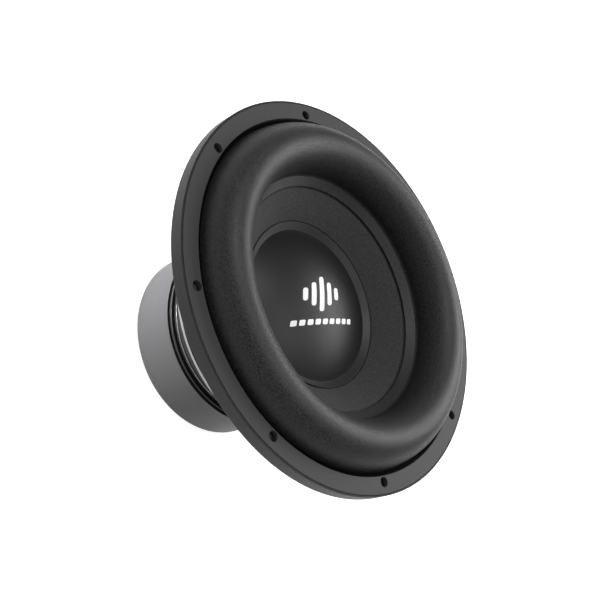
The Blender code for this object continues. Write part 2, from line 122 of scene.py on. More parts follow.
GAP = 0.0003

# ---------------- dimensions of the looks alone
# The roll's outer wall stands a little further in than the CAD's, for the dark gap by the gasket.
ROLL_CENTRE = (0.1194, 0.154)
ROLL_HALF_WIDTH = 0.0201
ROLL_STRETCH = 1.30
CAP_GROOVE_DEPTH = 0.0013
LIP_GROOVE_DEPTH = 0.0009
BARE_EDGES = ((0.0990, 0.0806, 0.0829), (0.0735, 0.0465, 0.0471))  # inner radius, lowest and highest z
MARK_ALONG_DEG = 76.1  # direction of the printed row on the dome
MARK_UP_DEG = 148.3  # and of its upright strokes

FINE_STEPS = 192
MEDIUM_STEPS = 96
WHITE = (1.0, 1.0, 1.0, 1.0)
SIDES = {"a": 0.0, "b": 180.0}  # degrees about Z
POLES = {"plus": 1, "minus": -1}


# ---------------- mesh helpers
def new_object(name, data):
    made = bpy.data.objects.new(name, data)
    bpy.context.scene.collection.objects.link(made)
    return made


def shade(mesh, sharp_deg=38.0):
    mesh.shade_smooth()
    mesh.set_sharp_from_angle(angle=math.radians(sharp_deg))


def from_bmesh(name, shape):
    """An object made of a bmesh, which is freed."""
    mesh = bpy.data.meshes.new(name)
    shape.to_mesh(mesh)
    shape.free()
    return new_object(name, mesh)


def turn_about_z(made, degrees, place=(0.0, 0.0, 0.0)):
    """Turns an object's mesh about Z and then moves it to a place."""
    made.data.transform(Matrix.Translation(place) @ Matrix.Rotation(math.radians(degrees), 4, "Z"))


def filleted(points, radius, segments=4):
    """A closed (radius, z) outline with its corners rounded; a point may hold a radius of its own."""
    outline = []
    count = len(points)
    for i, point in enumerate(points):
        corner = Vector(point[:2])
        before = Vector(points[i - 1][:2]) - corner
        after = Vector(points[(i + 1) % count][:2]) - corner
        wanted = point[2] if len(point) > 2 else radius
        turn = before.angle(after)
        if wanted <= 0.0 or turn > math.radians(176.0):
            outline.append(corner)
            continue
        reach = wanted / math.tan(turn / 2)
        reach = min(reach, 0.49 * before.length, 0.49 * after.length)
        start = corner + before.normalized() * reach
        end = corner + after.normalized() * reach
        for k in range(segments + 1):
            t = k / segments
            outline.append((1 - t) ** 2 * start + 2 * t * (1 - t) * corner + t**2 * end)
    return outline


def turned(name, outline, steps, closed=True):
    """A mesh turned about Z from an outline that runs down its outer side."""
    shape = bmesh.new()
    spins = [(math.cos(math.tau * k / steps), math.sin(math.tau * k / steps)) for k in range(steps)]
    rows = [[shape.verts.new((radius * c, radius * s, z)) for c, s in spins] for radius, z in outline]
    pairs = list(zip(rows, rows[1:]))
    if closed:
        pairs.append((rows[-1], rows[0]))
    for upper, lower in pairs:
        for k in range(steps):
            after = (k + 1) % steps
            shape.faces.new((upper[k], lower[k], lower[after], upper[after]))
    bmesh.ops.remove_doubles(shape, verts=shape.verts, dist=1e-7)
    bmesh.ops.dissolve_degenerate(shape, edges=shape.edges, dist=1e-8)
    bmesh.ops.recalc_face_normals(shape, faces=shape.faces)
    made = from_bmesh(name, shape)
    shade(made.data)
    return made


def box_piece(name, low, high, bevel=0.0, segments=3):
    """A box between two corners with rounded edges."""
    shape = bmesh.new()
    bmesh.ops.create_cube(shape, size=1.0)
    low, high = Vector(low), Vector(high)
    size = high - low
    bmesh.ops.transform(
        shape,
        matrix=Matrix.Translation((low + high) / 2) @ Matrix.Diagonal((*size, 1.0)),
        verts=shape.verts,
    )
    if bevel:
        bmesh.ops.bevel(
            shape, geom=shape.edges, offset=bevel, segments=segments, profile=0.5, affect="EDGES"
        )
    made = from_bmesh(name, shape)
    shade(made.data)
    return made


def bar_piece(name, x_span, middle, half, bevel=0.0, segments=3):
    """A box over a span of X, given its middle and half sizes in Y and Z."""
    (start, end), (y, z), (half_y, half_z) = x_span, middle, half
    low, high = (start, y - half_y, z - half_z), (end, y + half_y, z + half_z)
    return box_piece(name, low, high, bevel, segments)


def turned_along_x(name, outline, steps, place):
    """A solid piece turned from (radius, x) points, laid along X at a place."""
    made = turned(name, outline, steps, closed=False)
    made.data.transform(Matrix.Translation(place) @ Matrix.Rotation(math.pi / 2, 4, "Y"))
    return made


def apply_modifiers(made):
    """Replaces an object's mesh with what its modifiers make of it."""
    bpy.context.view_layer.update()
    graph = bpy.context.evaluated_depsgraph_get()
    mesh = bpy.data.meshes.new_from_object(made.evaluated_get(graph))
    old = made.data
    made.modifiers.clear()
    made.data = mesh
    bpy.data.meshes.remove(old)
    mesh.name = made.name
    return made


def boolean(made, others, operation):
    """Cuts the others out of an object, or joins them to it, and removes them."""
    for other in others:
        modifier = made.modifiers.new(other.name, "BOOLEAN")
        modifier.operation = operation
        modifier.solver = "EXACT"
        modifier.object = other
    apply_modifiers(made)
    for other in others:
        bpy.data.objects.remove(other, do_unlink=True)
    return made


def soften_edges(made, width):
    """Small rounds on the sharp edges, with shading weighted towards the large faces."""
    bevel = made.modifiers.new("soften", "BEVEL")
    bevel.width = width
    bevel.segments = 2
    bevel.limit_method = "ANGLE"
    bevel.angle_limit = math.radians(40.0)
    bevel.use_clamp_overlap = True
    bevel.harden_normals = False
    apply_modifiers(made)
    return weigh_normals(made)


def weigh_normals(made):
    """Shading that follows the large faces."""
    shade(made.data, 50.0)
    weighted = made.modifiers.new("weighted", "WEIGHTED_NORMAL")
    weighted.keep_sharp = True
    weighted.weight = 60
    return apply_modifiers(made)


def tube_mesh(name, points, radius, sides, twist=0.0):
    """A round tube along points; with a twist, its sides wind like a braid."""
    shape = bmesh.new()
    rings = []
    up = Vector((0.0, 0.0, 1.0))
    for i, point in enumerate(points):
        ahead = points[min(i + 1, len(points) - 1)] - points[max(i - 1, 0)]
        ahead.normalize()
        side = ahead.cross(up)
        if side.length < 1e-4:
            side = ahead.cross(Vector((0.0, 1.0, 0.0)))
        side.normalize()
        up = side.cross(ahead).normalized()
        angles = [math.tau * k / sides + twist * i for k in range(sides)]
        offsets = [radius * (math.cos(angle) * side + math.sin(angle) * up) for angle in angles]
        rings.append([shape.verts.new(point + offset) for offset in offsets])
    for first, second in zip(rings, rings[1:]):
        for k in range(sides):
            after = (k + 1) % sides
            shape.faces.new((first[k], first[after], second[after], second[k]))
    shape.faces.new(list(reversed(rings[0])))
    shape.faces.new(rings[-1])
    bmesh.ops.recalc_face_normals(shape, faces=shape.faces)
    made = from_bmesh(name, shape)
    shade(made.data, 60.0)
    return made


def catmull(points, samples):
    """A smooth route through the given points."""
    padded = [2 * points[0] - points[1], *points, 2 * points[-1] - points[-2]]
    route = []
    for i in range(1, len(padded) - 2):
        a, b, c, d = padded[i - 1 : i + 3]
        for k in range(samples):
            t = k / samples
            square = (2 * a - 5 * b + 4 * c - d) * t**2
            cube = (3 * b - a - 3 * c + d) * t**3
            route.append(0.5 * (2 * b + (c - a) * t + square + cube))
    route.append(points[-1])
    return route


def polar(radius, degrees, z):
    angle = math.radians(degrees)
    return Vector((radius * math.cos(angle), radius * math.sin(angle), z))


def arc(centre, radius, start_deg, end_deg, segments, stretch):
    """Points on an arc, stretched in height."""
    points = []
    for i in range(segments + 1):
        angle = math.radians(start_deg + (end_deg - start_deg) * i / segments)
        across, up = radius * math.cos(angle), radius * stretch * math.sin(angle)
        points.append((centre[0] + across, centre[1] + up))
    return points


def plug(radius, low, high):
    """Outline of a solid cylinder."""
    return [(0.0, high), (radius, high), (radius, low), (0.0, low)]


def hoop(inner, outer, low, high, rounding):
    """Outline of a ring with rounded edges."""
    return filleted([(outer, high), (outer, low), (inner, low), (inner, high)], rounding)


def cone_z(radius):
    """Height of the cone's face."""
    return CONE_REFERENCE[1] + CONE_SLOPE * (radius - CONE_REFERENCE[0])


def on_cone(radius, above=0.0):
    """A (radius, z) point at a height above the cone's face."""
    return radius, cone_z(radius) + above


def reach_x(node):
    """The least and greatest distance of a node from the axis along X, on either side."""
    return sorted(abs(corner.x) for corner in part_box(node))


# ---------------- material helpers
def colours(sockets):
    return [socket for socket in sockets if socket.type == "RGBA"]


class Look:
    """A Principled material with object coordinates and a few procedural layers."""

    def __init__(self, name, colour, roughness, metallic=0.0, specular=0.5):
        self.material = bpy.data.materials.new(name)
        self.material.use_nodes = True
        self.nodes = self.material.node_tree.nodes
        self.links = self.material.node_tree.links
        self.shader = self.nodes["Principled BSDF"]
        self.colour = colour
        self.set("Base Color", (*colour, 1.0))
        self.set("Roughness", roughness)
        self.set("Metallic", metallic)
        self.set("Specular IOR Level", specular)
        self.place = self.nodes.new("ShaderNodeTexCoord").outputs["Object"]
        self.normal = None

    def feed(self, socket, value):
        """Gives a socket a plain value or a link."""
        if isinstance(value, bpy.types.NodeSocket):
            self.links.new(value, socket)
        else:
            socket.default_value = value

    def set(self, label, value):
        self.feed(self.shader.inputs[label], value)

    def noise(self, scale, detail=4.0, roughness=0.55, stretch=(1.0, 1.0, 1.0)):
        """A noise value; the scale is in features for each metre."""
        mapping = self.nodes.new("ShaderNodeMapping")
        mapping.inputs["Scale"].default_value = stretch
        self.links.new(self.place, mapping.inputs["Vector"])
        texture = self.nodes.new("ShaderNodeTexNoise")
        texture.inputs["Scale"].default_value = scale
        texture.inputs["Detail"].default_value = detail
        texture.inputs["Roughness"].default_value = roughness
        self.links.new(mapping.outputs["Vector"], texture.inputs["Vector"])
        return texture.outputs["Fac"]

    def spread(self, value, low, high, from_low=0.3, from_high=0.7):
        """Maps a value to a range."""
        node = self.nodes.new("ShaderNodeMapRange")
        node.inputs["From Min"].default_value = from_low
        node.inputs["From Max"].default_value = from_high
        node.inputs["To Min"].default_value = low
        node.inputs["To Max"].default_value = high
        self.links.new(value, node.inputs["Value"])
        return node.outputs["Result"]

    def fine(self, value):
        """Stretches the middle of a noise to the range 0 to 1."""
        return self.spread(value, 0.0, 1.0, 0.36, 0.64)

    def maths(self, operation, first, second=0.5):
        node = self.nodes.new("ShaderNodeMath")
        node.operation = operation
        for socket, value in zip(node.inputs, (first, second)):
            self.feed(socket, value)
        return node.outputs["Value"]

    def mix(self, factor, first, second):
        """A colour between two."""
        node = self.nodes.new("ShaderNodeMix")
        node.data_type = "RGBA"
        for socket, value in zip(colours(node.inputs), (first, second)):
            self.feed(socket, value)
        self.links.new(factor, node.inputs["Factor"])
        return colours(node.outputs)[0]

    def tint(self, value, darkest, lightest):
        """Varies the base colour between two multiples of it."""
        ends = [(*(min(1.0, c * factor) for c in self.colour), 1.0) for factor in (darkest, lightest)]
        self.set("Base Color", self.mix(value, *ends))

    def glow(self, strength):
        self.set("Emission Color", WHITE)
        self.set("Emission Strength", strength)

    def rough(self, value, low, high, from_low=0.3, from_high=0.7):
        self.set("Roughness", self.spread(value, low, high, from_low, from_high))

    def bump(self, value, depth):
        """Relief of a real depth in metres; later layers stand on earlier ones."""
        node = self.nodes.new("ShaderNodeBump")
        node.inputs["Distance"].default_value = depth
        node.inputs["Strength"].default_value = 1.0
        self.links.new(value, node.inputs["Height"])
        if self.normal:
            self.links.new(self.normal, node.inputs["Normal"])
        self.normal = node.outputs["Normal"]
        self.set("Normal", self.normal)

    def axes(self):
        """The three object coordinates."""
        parts = self.nodes.new("ShaderNodeSeparateXYZ")
        self.links.new(self.place, parts.inputs["Vector"])
        return [parts.outputs[axis] for axis in "XYZ"]

    def radial(self):
        """Distance from the speaker axis and height, as two values."""
        x, y, z = self.axes()
        square = self.maths("ADD", self.maths("MULTIPLY", x, x), self.maths("MULTIPLY", y, y))
        return self.maths("SQRT", square), z


def surround_look():
    """Fine-grained satin rubber."""
    look = Look("surround_rubber_look", (0.019, 0.019, 0.020), 0.5, specular=0.42)
    grain = look.noise(900.0, 3.0, 0.7)
    look.tint(look.fine(grain), 0.3, 2.1)
    look.rough(grain, 0.36, 0.66, 0.4, 0.6)
    look.bump(look.noise(200.0, 2.0), 0.00005)
    look.bump(grain, 0.00018)
    return look


def gasket_look():
    """Matt moulded rubber."""
    look = Look("gasket_rubber_look", (0.045, 0.045, 0.046), 0.62, specular=0.4)
    grain = look.noise(900.0, 3.0)
    look.tint(look.fine(grain), 0.86, 1.16)
    look.rough(grain, 0.56, 0.70)
    look.bump(grain, 0.00006)
    return look


def cone_look():
    """Pressed black pulp: soft fibres and pale specks."""
    look = Look("cone_pulp_look", (0.056, 0.056, 0.057), 0.9, specular=0.2)
    fibre = look.noise(600.0, 6.0, 0.7, (1.0, 1.0, 2.4))
    look.tint(look.fine(fibre), 0.68, 1.32)
    look.rough(fibre, 0.78, 0.92)
    look.bump(look.noise(240.0, 4.0, 0.6), 0.00014)
    look.bump(look.noise(1300.0, 4.0, 0.7), 0.00012)
    return look


def dust_cap_look():
    """Smooth black pulp with a paler glued rim."""
    look = Look("dust_cap_look", (0.008, 0.008, 0.0084), 0.42, specular=0.36)
    fibre = look.noise(900.0, 5.0, 0.65)
    radius = look.radial()[0]
    rim = look.spread(radius, 0.0, 1.0, DOME_RADIUS - 0.0004, DOME_RADIUS + 0.0002)
    look.tint(look.maths("ADD", rim, look.maths("MULTIPLY", fibre, 0.15)), 0.9, 3.4)
    look.rough(fibre, 0.40, 0.50)
    look.bump(look.noise(120.0, 3.0), 0.00010)
    look.bump(fibre, 0.00005)
    return look


def boot_look():
    """Grey rubber, duller than the rest."""
    look = Look("boot_rubber_look", (0.066, 0.066, 0.068), 0.46, specular=0.25)
    look.tint(look.noise(30.0, 4.0), 0.93, 1.08)
    look.rough(look.noise(90.0, 4.0), 0.42, 0.50)
    look.bump(look.noise(1800.0, 2.0), 0.00003)
    return look


def basket_look():
    """Black powder coat; the turned edges of the landing ring and of the motor seat are bare."""
    look = Look("basket_paint_look", (0.019, 0.019, 0.020), 0.5, specular=0.22)
    look.tint(look.noise(40.0), 0.9, 1.15)
    radius, height = look.radial()
    bare = 0.0
    fade = 0.0001
    for inner, low, high in BARE_EDGES:
        outside = look.spread(radius, 0.0, 1.0, inner, inner + 2 * fade)
        above = look.spread(height, 0.0, 1.0, low - fade, low + fade)
        below = look.spread(height, 1.0, 0.0, high - fade, high + fade)
        band = look.maths("MULTIPLY", look.maths("MULTIPLY", outside, above), below)
        bare = look.maths("MAXIMUM", band, bare)
    painted = look.shader.inputs["Base Color"].links[0].from_socket
    look.set("Base Color", look.mix(bare, painted, (0.34, 0.34, 0.35, 1.0)))
    look.set("Metallic", bare)
    look.bump(look.noise(900.0, 2.0), 0.00003)
    return look


def metal_look(name, colour, roughness, turned_marks=True):
    """Machined or plated metal with faint tool marks, in rings or all over."""
    look = Look(name, colour, roughness, metallic=1.0)
    if turned_marks:
        radius, height = look.radial()
        rings = look.nodes.new("ShaderNodeTexNoise")
        rings.noise_dimensions = "1D"
        rings.inputs["Scale"].default_value = 2800.0
        look.links.new(look.maths("ADD", radius, height), rings.inputs["W"])
        marks = rings.outputs["Fac"]
    else:
        marks = look.noise(700.0, 4.0)
    look.tint(look.noise(70.0, 5.0), 0.82, 1.08)
    look.rough(marks, roughness * 0.8, roughness * 1.25)
    look.bump(marks, 0.00002)
    return look


def plastic_look(name, colour, roughness):
    look = Look(name, colour, roughness)
    look.tint(look.noise(150.0, 4.0), 0.9, 1.1)
    look.rough(look.noise(700.0, 3.0), roughness * 0.88, roughness * 1.15)
    look.bump(look.noise(2600.0, 2.0), 0.00002)
    return look


def ferrite_look():
    look = Look("ferrite_look", (0.050, 0.050, 0.055), 0.75)
    look.tint(look.noise(400.0, 6.0, 0.7), 0.7, 1.35)
    look.bump(look.noise(900.0, 5.0, 0.7), 0.00008)
    return look


def paper_look(name, colour):
    look = Look(name, colour, 0.85)
    fibre = look.noise(500.0, 6.0, 0.7, (1.0, 1.0, 0.3))
    look.tint(fibre, 0.8, 1.15)
    look.bump(fibre, 0.00006)
    return look


def film_look():
    """Amber polyimide film."""
    look = Look("former_film_look", (0.36, 0.15, 0.035), 0.30)
    look.tint(look.noise(60.0, 3.0), 0.85, 1.1)
    look.rough(look.noise(300.0, 3.0), 0.24, 0.38)
    look.bump(look.noise(120.0, 2.0), 0.00003)
    return look


def winding_look():
    """Enamelled copper wire, one fine ridge for each turn."""
    look = Look("winding_look", (0.62, 0.20, 0.07), 0.28, metallic=1.0)
    height = look.radial()[1]
    ridge = look.maths("PINGPONG", look.maths("MULTIPLY", height, 1700.0))
    look.tint(ridge, 0.45, 1.15)
    look.bump(ridge, 0.0002)
    return look


def spider_look():
    """Woven cotton-poly cloth stiffened with resin."""
    look = Look("spider_cloth_look", (0.52, 0.36, 0.10), 0.75)
    threads = []
    for axis in look.axes()[:2]:
        wave = look.maths("SINE", look.maths("MULTIPLY", axis, 9000.0))
        threads.append(look.maths("ABSOLUTE", wave))
    weave = look.maths("MULTIPLY", *threads)
    look.tint(weave, 0.55, 1.15)
    look.bump(weave, 0.00012)
    return look


def braid_look():
    look = Look("tinsel_braid_look", (0.62, 0.45, 0.30), 0.38, metallic=0.9)
    strands = look.noise(2600.0, 3.0, 0.7)
    look.tint(strands, 0.5, 1.2)
    look.bump(strands, 0.00012)
    return look


def gap_shade_look():
    """Black and too matt to shine: painted shade, laid in the gap by the gasket where there is only
    shadow.
    """
    look = Look("gap_shade_look", (0.002, 0.002, 0.002), 0.9, specular=0.03)
    look.tint(look.noise(300.0), 0.6, 1.6)
    look.bump(look.noise(500.0), 0.0001)
    return look


def mark_look():
    """White ink, which also glows a little: painted light."""
    look = Look("mark_ink_look", (0.95, 0.95, 0.95), 0.45)
    # The glow is painted light; the ink is no lamp.
    look.glow(0.10)
    look.tint(look.noise(500.0, 3.0), 0.96, 1.0)
    look.bump(look.noise(900.0), 0.00001)
    return look


looks = {
    "basket": basket_look(),
    "gasket": gasket_look(),
    "surround": surround_look(),
    "cone": cone_look(),
    "dust_cap": dust_cap_look(),
    "boot": boot_look(),
    "plate_paint": plastic_look("plate_paint_look", (0.016, 0.016, 0.017), 0.42),
    "ferrite": ferrite_look(),
    "steel": metal_look("plated_steel_look", (0.60, 0.60, 0.57), 0.34),
    "screw": metal_look("screw_steel_look", (0.32, 0.32, 0.32), 0.36, turned_marks=False),
    "spring": metal_look("spring_steel_look", (0.62, 0.62, 0.62), 0.30, turned_marks=False),
    "aluminium": metal_look("bare_aluminium_look", (0.82, 0.82, 0.84), 0.30),
    "winding": winding_look(),
    "film": film_look(),
    "kraft": paper_look("kraft_paper_look", (0.36, 0.24, 0.13)),
    "spider": spider_look(),
    "terminal": plastic_look("terminal_plastic_look", (0.022, 0.022, 0.023), 0.48),
    "red": plastic_look("red_plastic_look", (0.48, 0.016, 0.014), 0.34),
    "black": plastic_look("black_plastic_look", (0.014, 0.014, 0.015), 0.36),
    "brass": metal_look("tinned_brass_look", (0.74, 0.66, 0.48), 0.34, turned_marks=False),
    "braid": braid_look(),
    "mark": mark_look(),
    # painted shade: a black sheet for the shadowed gap between the roll and the gasket
    "gap_shade": gap_shade_look(),
}


def dress(made, look):
    made.data.materials.clear()
    made.data.materials.append(looks[look].material)


def finish_piece(made, look, slot, body, *nodes):
    """Material, body and the CAD nodes that the piece stands for; the slot is not used."""
    dress(made, look)
    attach(made, body)
    if nodes:
        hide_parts(*nodes)


def bend_piece(made, look, slot, weight, body, *nodes):
    """Material for a soft piece, whose CAD nodes are hidden; it is not attached to the body, and
    weight(point) (0 where it follows the frame, 1 the body) is worked out for each point but not used.
    The slot and body are not used.
    """
    dress(made, look)
    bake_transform(made)
    values = [weight(vertex.co) for vertex in made.data.vertices]
    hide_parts(*nodes)


def eased(value, low, high):
    """0 at low, 1 at high, smooth between."""
    t = min(1.0, max(0.0, (value - low) / (high - low)))
    return t * t * (3 - 2 * t)


def fading(start, end):
    """A weight that is 1 within the start radius and 0 beyond the end radius."""
    return lambda point: 1.0 - eased(math.hypot(point.x, point.y), start, end)


# ---------------- rim, basket and motor
def hole_cutters(heights, radius, chamfer):
    """Cutters for the mounting holes, with a chamfer at the upper mouth."""
    low, high = heights
    over = high + 0.002
    wide = radius + chamfer
    mouth = [(0.0, over), (wide, over), (wide, high), (radius, high - chamfer)]
    outline = [*mouth, (radius, low), (0.0, low)]
    cutters = []
    for i in range(BOLT_COUNT):
        degrees = BOLT_START_DEG + BOLT_STEP_DEG * i
        made = turned(f"hole_{i}", outline, 32, closed=False)
        # The odd angle keeps the cutter's edges off the edges of the ring that it cuts.
        turn_about_z(made, degrees + 5.6, polar(BOLT_CIRCLE, degrees, 0.0))
        cutters.append(made)
    return cutters


def make_gasket():
    back_z = FRONT_Z - 0.0025
    corners = [
        (GASKET_RADIUS, FRONT_Z, 0.0007),
        (GASKET_RADIUS, back_z, 0.0003),
        (GASKET_INNER_RADIUS, back_z, 0.0003),
        (GASKET_INNER_RADIUS, FRONT_Z, 0.0006),
    ]
    outline = filleted(corners, 0.0005)
    made = turned("gasket_ring", outline, FINE_STEPS)
    boolean(made, hole_cutters((FRONT_Z - 0.004, FRONT_Z), 0.0037, 0.0004), "DIFFERENCE")
    weigh_normals(made)
    finish_piece(made, "gasket", "gasket_rubber", "frame", "front_gasket")


def window_cutter(degrees):
    """A rounded trapezoid that leaves spokes of one width between the windows."""
    widths = []
    for z in WINDOW_Z:
        share = (z - SPOKE_FOOT[1]) / (SPOKE_HEAD[1] - SPOKE_FOOT[1])
        radius = SPOKE_FOOT[0] + (SPOKE_HEAD[0] - SPOKE_FOOT[0]) * share
        half_angle = math.pi / SPOKES - math.asin(SPOKE_HALF_WIDTH / radius)
        widths.append(radius * math.sin(half_angle))
    made = box_piece("window", (0.080, -1.0, WINDOW_Z[0]), (0.150, 1.0, WINDOW_Z[1]))
    for vertex in made.data.vertices:
        vertex.co.y *= widths[1] if vertex.co.z > sum(WINDOW_Z) / 2 else widths[0]
    shape = bmesh.new()
    shape.from_mesh(made.data)
    radial = [e for e in shape.edges if abs(e.verts[0].co.x - e.verts[1].co.x) > 0.01]
    bmesh.ops.bevel(shape, geom=radial, offset=0.0062, segments=8, profile=0.5, affect="EDGES")
    shape.to_mesh(made.data)
    shape.free()
    turn_about_z(made, degrees)
    return made


def spoke_rib(degrees):
    """A bar along the outside of a spoke, sunk into it."""
    foot, head = Vector(SPOKE_FOOT), Vector(SPOKE_HEAD)
    along = head - foot
    half = along.length / 2
    made = bar_piece("rib", (-half, half), (0.0, 0.0), (0.0025, 0.0025), 0.0008)
    middle = (foot + head) / 2
    slope = math.atan2(along.y, along.x)
    lean = Matrix.Rotation(math.pi - slope, 4, "Y")
    made.data.transform(Matrix.Translation((middle.x, 0.0, middle.y)) @ lean)
    turn_about_z(made, degrees)
    return made


def make_basket():
    corners = [
        (FLANGE_RADIUS, FLANGE_LIP_TOP_Z, 0.0004),
        (FLANGE_RADIUS, FLANGE_BACK_Z, 0.0012),
        (TUB_RADIUS, FLANGE_BACK_Z, 0.0015),
        (*SPOKE_HEAD, 0.004),
        (*SPOKE_FOOT, 0.0010),
        (0.0995, 0.0790, 0.0006),
        (0.0960, 0.0755, 0.0006),
        (0.0815, 0.0755, 0.0015),
        (0.0765, 0.0545, 0.0006),
        (0.0750, 0.0530, 0.0004),
        (0.0750, 0.0505, 0.0004),
        (0.0732, 0.0500, 0.0003),
        (0.0732, 0.0475, 0.0003),
        (0.0742, 0.0470, 0.0003),
        (0.0742, SEAT_Z, 0.0004),
        (0.040, SEAT_Z, 0.0004),
        (0.040, 0.0483, 0.0006),
        (0.0705, 0.0483, 0.002),
        (0.0735, 0.056, 0.002),
        (0.0785, LANDING_Z, 0.0008),
        (0.0955, LANDING_Z, 0.0003),
        (0.0955, 0.0838, 0.0006),
        (0.136, 0.1304, 0.004),
        (0.136, GASKET_SEAT_Z, 0.001),
        (FLANGE_LIP_INNER_RADIUS, GASKET_SEAT_Z, 0.0004),
        (FLANGE_LIP_INNER_RADIUS, FLANGE_LIP_TOP_Z, 0.0003),
    ]
    outline = filleted(corners, 0.0005)
    made = turned("basket_casting", outline, FINE_STEPS)
    cutters = []
    ribs = []
    for i in range(SPOKES):
        spoke_deg = SPOKE_STEP_DEG * i
        window_deg = spoke_deg + SPOKE_STEP_DEG / 2
        vent = box_piece("vent", (0.060, -0.013, 0.0585), (0.092, 0.013, 0.0705), 0.004, 4)
        turn_about_z(vent, window_deg)
        screw_hole = turned("seat_hole", plug(0.0026, 0.042, 0.051), 24, closed=False)
        turn_about_z(screw_hole, window_deg + 7.5, polar(SCREW_CIRCLE, window_deg, 0.0))
        cutters += [window_cutter(window_deg), vent, screw_hole]
        # The two spokes behind the terminals carry no rib.
        if spoke_deg % 180.0 > 1.0:
            ribs.append(spoke_rib(spoke_deg))
    for side_deg in SIDES.values():
        shelf = box_piece("shelf", (0.090, -0.022, 0.0759), (0.1025, 0.022, 0.0789), 0.0008)
        plate = box_piece("plate", (0.0995, -0.0215, 0.054), (0.1035, 0.0215, 0.0784), 0.0008)
        for piece in (shelf, plate):
            turn_about_z(piece, side_deg)
            ribs.append(piece)
    boolean(made, cutters, "DIFFERENCE")
    boolean(made, ribs, "UNION")
    holes = hole_cutters((FLANGE_BACK_Z - 0.002, GASKET_SEAT_Z), 0.0034, 0.0)
    boolean(made, holes, "DIFFERENCE")
    weigh_normals(made)
    finish_piece(made, "basket", "black_paint", "frame", "basket")


def make_boot():
    inside = BOOT_RADIUS - 0.0018
    floor = 0.002
    opening = 0.020
    corners = [
        (BOOT_RADIUS, BOOT_TOP_Z, 0.0005),
        (BOOT_RADIUS, 0.0, 0.002),
        (opening, 0.0, 0.0005),
        (opening, floor, 0.0005),
        (inside, floor, 0.001),
        (inside, BOOT_TOP_Z, 0.0005),
    ]
    outline = filleted(corners, 0.0005, segments=8)
    made = turned("motor_boot_shell", outline, FINE_STEPS)
    finish_piece(made, "boot", "boot_rubber", "frame", "motor_boot")


def make_top_plate():
    low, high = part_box("top_plate")
    bore = 0.0352
    made = turned("top_plate_disc", hoop(bore, high.x, low.z, high.z, 0.0006), FINE_STEPS)
    finish_piece(made, "plate_paint", "black_paint", "frame", "top_plate")


def make_vent_grille():
    """A pressed disc with rings of round holes."""
    low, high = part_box("vent_grille")
    outline = [(0.0, high.z), (high.x - 0.0004, high.z), (high.x, high.z - 0.0004)]
    outline += [(high.x, low.z + 0.0004), (high.x - 0.0004, low.z), (0.0, low.z)]
    made = turned("vent_grille_disc", outline, 64, closed=False)
    profile = plug(0.0034, low.z - 0.001, high.z + 0.001)
    places = [Vector((0.0, 0.0, 0.0))] + [polar(0.0085, 60.0 * k, 0.0) for k in range(6)]
    cutters = []
    for i, place in enumerate(places):
        hole = turned(f"grille_hole_{i}", profile, 24, closed=False)
        turn_about_z(hole, 0.0, place)
        cutters.append(hole)
    boolean(made, cutters, "DIFFERENCE")
    soften_edges(made, 0.00025)
    finish_piece(made, "black", "black_plastic", "frame", "vent_grille")


def hex_socket(radius, depth, top):
    """A cutter for a hexagonal recess."""
    shape = bmesh.new()
    bmesh.ops.create_cone(
        shape, cap_ends=True, segments=6, radius1=radius, radius2=radius, depth=2 * depth
    )
    bmesh.ops.translate(shape, vec=(0.0, 0.0, top), verts=shape.verts)
    return from_bmesh("socket", shape)


def make_motor_screws():
    """Socket-head cap screws."""
    low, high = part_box("motor_screw_1")
    head_low = 0.0486
    head_radius, shank_radius = 0.0042, 0.0022
    outline = [
        (0.0, high.z),
        (head_radius - 0.0005, high.z),
        (head_radius, high.z - 0.0005),
        (head_radius, head_low),
        (shank_radius, head_low),
        (shank_radius, low.z + 0.0004),
        (shank_radius - 0.0004, low.z),
        (0.0, low.z),
    ]
    for i in range(SPOKES):
        degrees = (i + 0.5) * SPOKE_STEP_DEG
        made = turned(f"motor_cap_screw_{i + 1}", outline, 32, closed=False)
        boolean(made, [hex_socket(0.0023, 0.0025, high.z)], "DIFFERENCE")
        turn_about_z(made, 0.0, polar(SCREW_CIRCLE, degrees, 0.0))
        weigh_normals(made)
        finish_piece(made, "screw", "plated_steel", "frame", f"motor_screw_{i + 1}")


# ---------------- suspension and cone
def make_surround():
    foot_top, foot_bottom = 0.1572, 0.1556
    lip_top = GAP + 0.0013
    inner = ROLL_HALF_WIDTH - ROLL_THICKNESS
    rise = (foot_top - ROLL_CENTRE[1]) / (ROLL_HALF_WIDTH * ROLL_STRETCH)
    under_rise = (foot_bottom - ROLL_CENTRE[1]) / (inner * ROLL_STRETCH)
    outer_deg, under_deg = math.degrees(math.asin(rise)), math.degrees(math.asin(under_rise))
    upper = arc(ROLL_CENTRE, ROLL_HALF_WIDTH, 184.0, outer_deg + 4.0, 56, ROLL_STRETCH)
    lower = arc(ROLL_CENTRE, inner, under_deg, 186.0, 44, ROLL_STRETCH)
    corners = [
        (*on_cone(LIP_INNER_RADIUS, GAP), 0.0003),
        (*on_cone(LIP_INNER_RADIUS, lip_top), 0.0005),
        (*on_cone(0.0983, lip_top), 0.0012),
        *((*point, 0.0) for point in upper),
        (TUB_RADIUS + 0.0001, foot_top, 0.0004),
        (FOOT_RADIUS, foot_top, 0.0003),
        (FOOT_RADIUS, foot_bottom, 0.0003),
        *((*point, 0.0) for point in lower),
        (*on_cone(0.0984, GAP), 0.0003),
    ]
    outline = filleted(corners, 0.0004)
    made = turned("surround_roll", outline, FINE_STEPS)
    boolean(made, hole_cutters((0.154, 0.160), 0.0039, 0.0), "DIFFERENCE")
    weigh_normals(made)
    weight = fading(ROLL_CENTRE[0] - ROLL_HALF_WIDTH, ROLL_CENTRE[0] + ROLL_HALF_WIDTH)
    bend_piece(made, "surround", "surround_rubber", weight, "cone", "surround")


